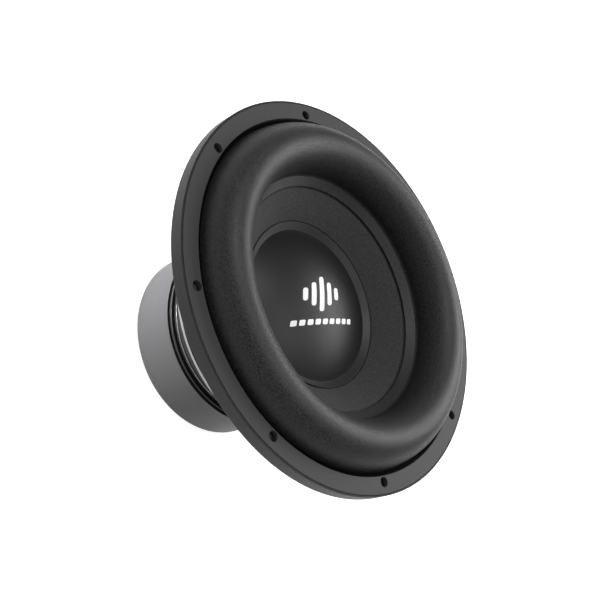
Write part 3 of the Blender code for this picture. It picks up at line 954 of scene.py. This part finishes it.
def make_gap_shade_ring():
    """A black ring at the bottom of the gap between the roll and the gasket: painted shade where the
    gap is only in shadow.
    """
    made = turned("gap_shade_ring", hoop(0.1397, 0.1428, 0.1573, 0.1577, 0.0002), FINE_STEPS)
    finish_piece(made, "gap_shade", "surround_rubber", "frame")


def make_cone():
    """The cone, with a groove round the dust cap and one inside the surround's lip."""
    neck = FORMER_RADIUS + GAP
    thickness = 0.0018
    skirt = neck + 0.0017
    skirt_z = 0.0954
    corners = [
        (*on_cone(CONE_EDGE_RADIUS), 0.0005),
        (*on_cone(CONE_EDGE_RADIUS, -thickness), 0.0005),
        (*on_cone(skirt, -thickness), 0.001),
        (skirt, skirt_z, 0.0005),
        (neck, skirt_z, 0.0003),
        (*on_cone(neck), 0.0005),
        (*on_cone(CAP_RADIUS - 0.0004), 0.0),
        (*on_cone(CAP_RADIUS - 0.0001, -CAP_GROOVE_DEPTH), 0.0001),
        (*on_cone(CAP_RADIUS + 0.0011, -CAP_GROOVE_DEPTH), 0.0001),
        (*on_cone(CAP_RADIUS + 0.0012), 0.0001),
        (*on_cone(LIP_INNER_RADIUS - 0.0008), 0.0002),
        (*on_cone(LIP_INNER_RADIUS - 0.0006, -LIP_GROOVE_DEPTH), 0.0001),
        (*on_cone(LIP_INNER_RADIUS - 0.0001, -LIP_GROOVE_DEPTH), 0.0001),
        (*on_cone(LIP_INNER_RADIUS + 0.0004), 0.0),
    ]
    outline = filleted(corners, 0.0005)
    made = turned("cone_body", outline, FINE_STEPS)
    finish_piece(made, "cone", "cone_pulp", "cone", "cone")


def dome_z(radius):
    """Height of the dust cap's dome."""
    rim_z = cone_z(DOME_RADIUS) + GAP + CAP_RIM_THICKNESS
    rise = DOME_TOP_Z - rim_z
    sphere = (DOME_RADIUS**2 + rise**2) / (2 * rise)
    return DOME_TOP_Z - sphere + math.sqrt(sphere**2 - radius**2)


def make_dust_cap():
    wall = 0.0014
    stations = [DOME_RADIUS * i / 40 for i in range(41)]
    outside = [(radius, dome_z(radius)) for radius in stations[:-1]]
    corners = [
        (stations[-2], dome_z(stations[-2]), 0.0),
        (DOME_RADIUS, dome_z(DOME_RADIUS), 0.0003),
        (*on_cone(CAP_RADIUS, GAP + CAP_RIM_THICKNESS), 0.0003),
        (*on_cone(CAP_RADIUS, GAP), 0.0002),
        (*on_cone(0.0610, GAP), 0.0),
    ]
    valley = filleted(corners, 0.0005)[1:]
    inside = [(radius * 0.9, dome_z(radius * 0.9) - wall) for radius in reversed(stations)]
    made = turned("dust_cap_dome", outside + valley + inside, FINE_STEPS, closed=False)
    finish_piece(made, "dust_cap", "dust_cap_pulp", "cone", "dust_cap")


def print_patch(name, centre, size, corner):
    """A thin printed patch with round corners that follows the dome, upright in the printed row."""
    across, tall = size
    mesh_step = 0.0008
    columns, rows = (max(6, round(length / mesh_step)) for length in size)
    along, up = polar(1.0, MARK_ALONG_DEG, 0.0), polar(1.0, MARK_UP_DEG, 0.0)
    shape = bmesh.new()
    grid = []
    for j in range(rows + 1):
        line = []
        for i in range(columns + 1):
            u = (i / columns - 0.5) * across
            v = (j / rows - 0.5) * tall
            inset_x = max(0.0, abs(u) - (across / 2 - corner))
            inset_y = max(0.0, abs(v) - (tall / 2 - corner))
            reach = math.hypot(inset_x, inset_y)
            if reach > corner:
                u = math.copysign(across / 2 - corner + inset_x * corner / reach, u)
                v = math.copysign(tall / 2 - corner + inset_y * corner / reach, v)
            place = (centre[0] + u) * along + (centre[1] + v) * up
            line.append(shape.verts.new((place.x, place.y, dome_z(place.length) + 0.00002)))
        grid.append(line)
    for lower, upper in zip(grid, grid[1:]):
        for i in range(columns):
            shape.faces.new((lower[i], lower[i + 1], upper[i + 1], upper[i]))
    made = from_bmesh(name, shape)
    thick = made.modifiers.new("ink", "SOLIDIFY")
    thick.thickness = 0.00008
    thick.offset = 1.0
    apply_modifiers(made)
    shade(made.data)
    finish_piece(made, "mark", "black_plastic", "cone")


def make_mark():
    """A plain printed mark on the dome: five upright bars over a row of dashes."""
    for i, tall in enumerate((0.011, 0.020, 0.030, 0.020, 0.011)):
        centre = ((i - 2) * 0.0090 - 0.0012, 0.0048)
        print_patch(f"mark_bar_{i + 1}", centre, (0.0052, tall), 0.0022)
    for i in range(9):
        centre = ((i - 4) * 0.0080 + 0.0038, -0.0187)
        print_patch(f"mark_dash_{i + 1}", centre, (0.0058, 0.0046), 0.0012)


def spider_line(radius):
    """Height of the spider's cloth above its flat rings."""
    inner, outer = 0.038, 0.077
    if radius <= inner or radius >= outer:
        return 0.0
    waves = 5
    height = 0.0021
    phase = (radius - inner) / (outer - inner)
    ends = min(1.0, phase * waves * 2, (1 - phase) * waves * 2)
    return height * math.sin(math.tau * waves * phase) * ends


def make_spider():
    half = 0.0004
    inner = FORMER_RADIUS + GAP
    count = 110
    stations = [inner + (SPIDER_RADIUS - inner) * i / count for i in range(count + 1)]
    top = [(radius, SPIDER_Z + spider_line(radius) + half) for radius in stations]
    bottom = [(radius, SPIDER_Z + spider_line(radius) - half) for radius in reversed(stations)]
    made = turned("spider_cloth", top + bottom, FINE_STEPS)
    bend_piece(made, "spider", "spider_cloth", fading(0.037, 0.079), "cone", "spider")


def make_small_rings():
    """Clamp ring, former and its collar, with rounded edges."""
    rows = (
        ("spider_clamp_hoop", "spider_clamp_ring", 0.085, "black", "black_plastic", "frame"),
        ("coil_former_tube", "coil_former", FORMER_RADIUS - 0.0006, "film", "former_film", "cone"),
        ("former_collar_wrap", "former_collar", FORMER_RADIUS + GAP, "kraft", "kraft_paper", "cone"),
    )
    for name, node, inner, look, slot, body in rows:
        low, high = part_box(node)
        outline = hoop(inner, high.x, low.z, high.z, 0.00025)
        finish_piece(turned(name, outline, MEDIUM_STEPS), look, slot, body, node)


# ---------------- terminals and leads
def make_terminal(side, turn):
    """A moulded block with wells for the buttons, screws and wires."""
    node = f"terminal_block_{side}"
    low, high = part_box(node)
    back, front = reach_x(node)
    name = f"terminal_housing_{side}"
    block = box_piece(name, (back, low.y, low.z), (front, high.y, high.z), 0.0011, 4)
    cutters = [
        turned_along_x(f"screw_hole_{i}", plug(0.0019, 0.0, 0.02), 24, (0.100, 0.0, z))
        for i, z in enumerate(TERMINAL_SCREW_Z)
    ]
    lead_in = 0.0006
    for sign in POLES.values():
        for start, z, radius in ((0.1073, BUTTON_Z, 0.0053), (0.106, WIRE_HOLE_Z, 0.0032)):
            depth = front - start
            outline = [
                (0.0, depth + 0.002),
                (radius + lead_in, depth + 0.002),
                (radius + lead_in, depth),
                (radius, depth - lead_in),
                (radius, 0.0),
                (0.0, 0.0),
            ]
            cutters.append(turned_along_x("well", outline, 40, (start, sign * BUTTON_Y, z)))
        y = sign * TAB_Y
        cutters.append(box_piece("slot", (0.1049, y - 0.0028, 0.0742), (0.1063, y + 0.0028, 0.082)))
    # Two shallow grooves part the face into a field for each pole.
    span = (front - 0.0004, front + 0.001)
    for y in (-0.0036, 0.0036):
        cutters.append(bar_piece("groove", span, (y, 0.06625), (0.0003, 0.00625)))
    boolean(block, cutters, "DIFFERENCE")
    turn_about_z(block, turn)
    weigh_normals(block)
    finish_piece(block, "terminal", "terminal_plastic", "frame", node)
    make_signs(side, turn, front)


def make_signs(side, turn, front):
    """Moulded plus and minus signs beside the wire holes."""
    span = (front - 0.0002, front + 0.0003)
    half_length, half_width = 0.0017, 0.0004
    for pole, sign in POLES.items():
        middle = (sign * 0.0178, WIRE_HOLE_Z)
        made = bar_piece(f"sign_{side}_{pole}", span, middle, (half_length, half_width), 0.0001, 1)
        if pole == "plus":
            upright = bar_piece("upright", span, middle, (half_width, half_length), 0.0001, 1)
            boolean(made, [upright], "UNION")
        turn_about_z(made, turn)
        finish_piece(made, "terminal", "terminal_plastic", "frame")


def make_fittings(side, turn):
    """Buttons, springs, contact tabs and screws of one block."""
    for pole, sign in POLES.items():
        node = f"push_button_{side}_{pole}"
        low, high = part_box(node)
        back, front = reach_x(node)
        length = front - back
        radius = (high.z - low.z) / 2
        crown = [(radius * k / 8, length - 0.0009 + 0.0004 * (1 - (k / 8) ** 2)) for k in range(6)]
        outline = crown + [
            (radius * 0.78, length),
            (radius - 0.0006, length),
            (radius - 0.0001, length - 0.0005),
            (radius, length - 0.0010),
            (radius, 0.0005),
            (radius - 0.0005, 0.0),
            (0.0, 0.0),
        ]
        place = (back, sign * BUTTON_Y, BUTTON_Z)
        button = turned_along_x(f"button_cap_{side}_{pole}", outline, 64, place)
        turn_about_z(button, turn)
        look, slot = ("red", "red_plastic") if pole == "plus" else ("black", "black_plastic")
        finish_piece(button, look, slot, node, node)
        make_spring(side, pole, turn, back)
        make_contact(side, pole, turn)
    make_terminal_screws(side, turn)


def make_spring(side, pole, turn, button_back):
    """A compression spring behind its button."""
    node = f"button_spring_{side}_{pole}"
    start, end = reach_x(node)
    wire = 0.00035
    coil_radius = 0.003
    turns, per_turn = 5, 20
    coil = []
    for i in range(turns * per_turn + 1):
        ring = polar(coil_radius, 360.0 * i / per_turn, 0.0)
        x = start + wire + (end - start - 2 * wire) * i / (turns * per_turn)
        coil.append(Vector((x, POLES[pole] * BUTTON_Y + ring.x, BUTTON_Z + ring.y)))
    made = tube_mesh(f"coil_spring_{side}_{pole}", coil, wire, 8)
    turn_about_z(made, turn)

    def weight(point):
        return min(1.0, max(0.0, (abs(point.x) - start) / (button_back - start)))

    bend_piece(made, "spring", "spring_steel", weight, f"push_button_{side}_{pole}", node)


def make_contact(side, pole, turn):
    """A strip with an eye for the tinsel lead."""
    node = f"contact_tab_{side}_{pole}"
    low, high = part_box(node)
    start, end = reach_x(node)
    y = POLES[pole] * TAB_Y
    name = f"contact_strip_{side}_{pole}"
    made = box_piece(name, (start, y - 0.0025, low.z), (end, y + 0.0025, high.z), 0.0002, 2)
    eye = turned_along_x("eye", plug(0.0009, -0.004, 0.004), 20, (start, y, high.z - 0.0025))
    boolean(made, [eye], "DIFFERENCE")
    turn_about_z(made, turn)
    weigh_normals(made)
    finish_piece(made, "brass", "tinned_brass", "frame", node)


def make_terminal_screws(side, turn):
    """Pan-head screws with a cross recess."""
    head_radius, shank_radius = 0.003, 0.0015
    for i, z in enumerate(TERMINAL_SCREW_Z):
        node = f"terminal_screw_{side}_{i + 1}"
        tip, top = reach_x(node)
        length = top - tip
        head = length - 0.002
        dome = [
            (head_radius * math.sin(angle), head + 0.0006 + 0.0014 * math.cos(angle))
            for angle in (0.0, 0.4, 0.8, 1.2, math.pi / 2)
        ]
        shank = [(shank_radius, head), (shank_radius, 0.0003), (shank_radius - 0.0003, 0.0), (0.0, 0.0)]
        outline = [*dome, (head_radius, head), *shank]
        made = turned_along_x(f"pan_screw_{side}_{i + 1}", outline, 32, (tip, 0.0, z))
        span = (top - 0.0011, top + 0.001)
        halves = ((0.0019, 0.00035), (0.00035, 0.0019))
        blades = [bar_piece("blade", span, (0.0, z), half) for half in halves]
        boolean(made, blades, "DIFFERENCE")
        turn_about_z(made, turn)
        weigh_normals(made)
        finish_piece(made, "screw", "plated_steel", "frame", node)


def make_leads():
    """Braided tinsel leads from the contact tabs over the spider to the former."""
    route = (
        (0.1056, TAB_Y, 0.0914),
        (0.1020, 0.0136, 0.0955),
        (0.0860, 0.0122, 0.0975),
        (0.0660, 0.0100, 0.0925),
        (0.0480, 0.0080, 0.0895),
        (0.0352, 0.0062, 0.0905),
    )
    for side, turn in SIDES.items():
        for pole, sign in POLES.items():
            points = catmull([Vector((x, sign * y, z)) for x, y, z in route], 14)
            made = tube_mesh(f"tinsel_braid_{side}_{pole}", points, 0.001, 12, 0.35)
            turn_about_z(made, turn)
            node = f"tinsel_lead_{side}_{pole}"
            bend_piece(made, "braid", "tinsel_braid", fading(0.038, 0.100), "cone", node)


# ---------------- stage, light and camera
def make_floor():
    """A wide white table, lit a little from below as light tables are."""
    bpy.ops.mesh.primitive_plane_add(size=8.0, location=(0.0, 0.0, -0.0005))
    floor = bpy.context.active_object
    floor.name = "studio_floor"
    look = Look("floor_look", (0.90, 0.90, 0.90), 0.8, specular=0.1)
    look.glow(0.85)
    floor.data.materials.append(look.material)


def aim_object(made, aim, azimuth_deg, elevation_deg, distance, roll_deg=0.0):
    """Stands an object off the aim, at an azimuth from +X and an elevation, and faces it to the aim."""
    azimuth, elevation = math.radians(azimuth_deg), math.radians(elevation_deg)
    level = math.cos(elevation)
    back = Vector((math.cos(azimuth) * level, math.sin(azimuth) * level, math.sin(elevation)))
    made.location = Vector(aim) + back * distance
    made.rotation_mode = "QUATERNION"
    roll = Quaternion((0, 0, 1), math.radians(roll_deg))
    made.rotation_quaternion = (-back).to_track_quat("-Z", "Y") @ roll


def softbox(name, azimuth, elevation, distance, size, power, aim=(0.0, 0.0, 0.12), spread=180.0):
    """A rectangular light, unseen by the camera."""
    light = bpy.data.lights.new(name, "AREA")
    light.shape = "RECTANGLE"
    light.size, light.size_y = size
    light.energy = power
    light.spread = math.radians(spread)
    made = new_object(name, light)
    aim_object(made, aim, azimuth, elevation, distance)
    made.visible_camera = False


def make_lights():
    """Three softboxes, a low strip on the boot, and a world that is white to the camera.

    As a light the world is pale at the horizon and darker overhead.
    """
    world = bpy.data.worlds.new("studio")
    bpy.context.scene.world = world
    world.use_nodes = True
    nodes, links = world.node_tree.nodes, world.node_tree.links
    direction = nodes.new("ShaderNodeTexCoord").outputs["Generated"]
    parts = nodes.new("ShaderNodeSeparateXYZ")
    links.new(direction, parts.inputs["Vector"])
    fade = nodes.new("ShaderNodeMapRange")
    for end, height, strength in (("Min", 0.0, 0.50), ("Max", 0.45, 0.17)):
        fade.inputs[f"From {end}"].default_value = height
        fade.inputs[f"To {end}"].default_value = strength
    links.new(parts.outputs["Z"], fade.inputs["Value"])
    seen = nodes.new("ShaderNodeMix")
    links.new(nodes.new("ShaderNodeLightPath").outputs["Is Camera Ray"], seen.inputs["Factor"])
    links.new(fade.outputs["Result"], seen.inputs["A"])
    seen.inputs["B"].default_value = 1.0
    links.new(seen.outputs["Result"], nodes["Background"].inputs["Strength"])
    nodes["Background"].inputs["Color"].default_value = WHITE
    softbox("key", 78.0, 33.0, 1.3, (0.9, 0.7), 11.0)
    softbox("low_strip", 212.0, -2.0, 0.36, (0.26, 0.03), 0.31, aim=(0.0, 0.0, 0.022), spread=36.0)
    softbox("fill", 185.0, 62.0, 1.5, (0.4, 0.4), 6.0)
    softbox("overhead", 20.0, 80.0, 1.8, (1.0, 1.0), 9.0)
    bpy.context.scene.view_settings.view_transform = "Standard"


def make_camera():
    """The camera stands in front of -Y, above, and is rolled so that the driver's axis lies across."""
    data = bpy.data.cameras.new("camera")
    data.sensor_width = 36.0
    data.lens = 58.26
    data.clip_start = 0.01
    camera = new_object("camera", data)
    aim_object(camera, (-0.0054, -0.0516, FRONT_Z), -89.1, 40.84, 0.7107, roll_deg=67.94)
    bpy.context.scene.camera = camera


make_gasket()
make_basket()
make_boot()
make_top_plate()
make_vent_grille()
make_motor_screws()
make_surround()
make_gap_shade_ring()
make_cone()
make_dust_cap()
make_mark()
make_spider()
make_small_rings()
for side_name, side_turn in SIDES.items():
    make_terminal(side_name, side_turn)
    make_fittings(side_name, side_turn)
make_leads()

for node_name, look_name in (
    ("magnet", "ferrite"),
    ("t_yoke", "steel"),
    ("shorting_ring", "aluminium"),
    ("voice_coil_inner", "winding"),
    ("voice_coil_outer", "winding"),
):
    dress(frame["nodes"][node_name], look_name)

make_floor()
make_lights()
make_camera()
